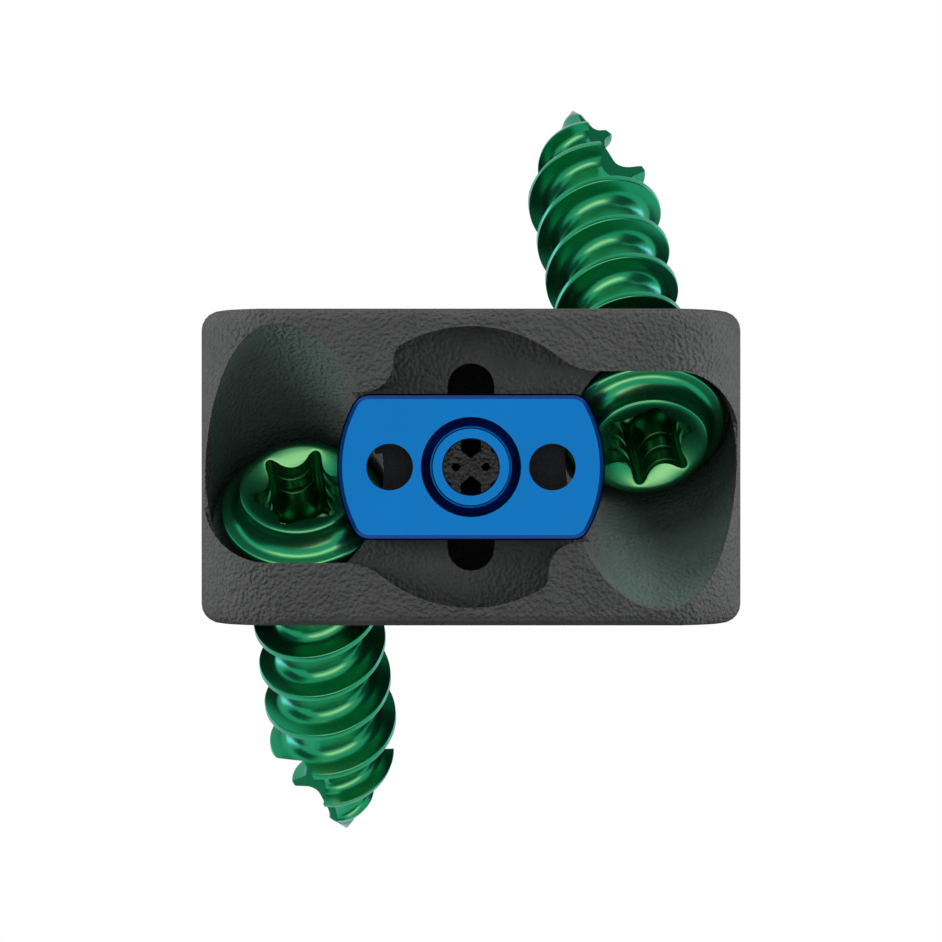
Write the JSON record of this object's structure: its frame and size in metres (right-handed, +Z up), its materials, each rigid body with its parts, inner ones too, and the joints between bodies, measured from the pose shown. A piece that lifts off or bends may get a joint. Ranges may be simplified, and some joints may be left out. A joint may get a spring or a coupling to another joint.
{
  "type": "spinal interbody cage",
  "caption": "Stand-alone cervical interbody cage with a graft window, two angled bone screws and a turning plate that covers their heads.",
  "frame": {"origin": "centre of the cage body, on the axis of the central bore", "axes": "+X to the right and +Z up as seen from the front, +Y from the front face back into the disc space"},
  "size_m": [0.017, 0.0142, 0.0228],
  "materials": {
    "printed_titanium": "fine-grained matt dark grey, as printed",
    "blue_anodised_titanium": "satin blue anodised metal",
    "green_anodised_titanium": "bright green anodised metal"
  },
  "bodies": {
    "cage": {"cage_body": "printed_titanium", "pivot_sleeve": "blue_anodised_titanium", "bone_screw_lower": "green_anodised_titanium", "bone_screw_upper": "green_anodised_titanium"},
    "lock_plate": {"lock_plate": "blue_anodised_titanium"}
  },
  "joints": [
    {"name": "lock_plate_turn", "type": "hinge", "parent": "cage", "child": "lock_plate", "pos_m": [0, -0.007, 0], "axis": [0, -1, 0], "range_deg": [0, 90]}
  ]
}
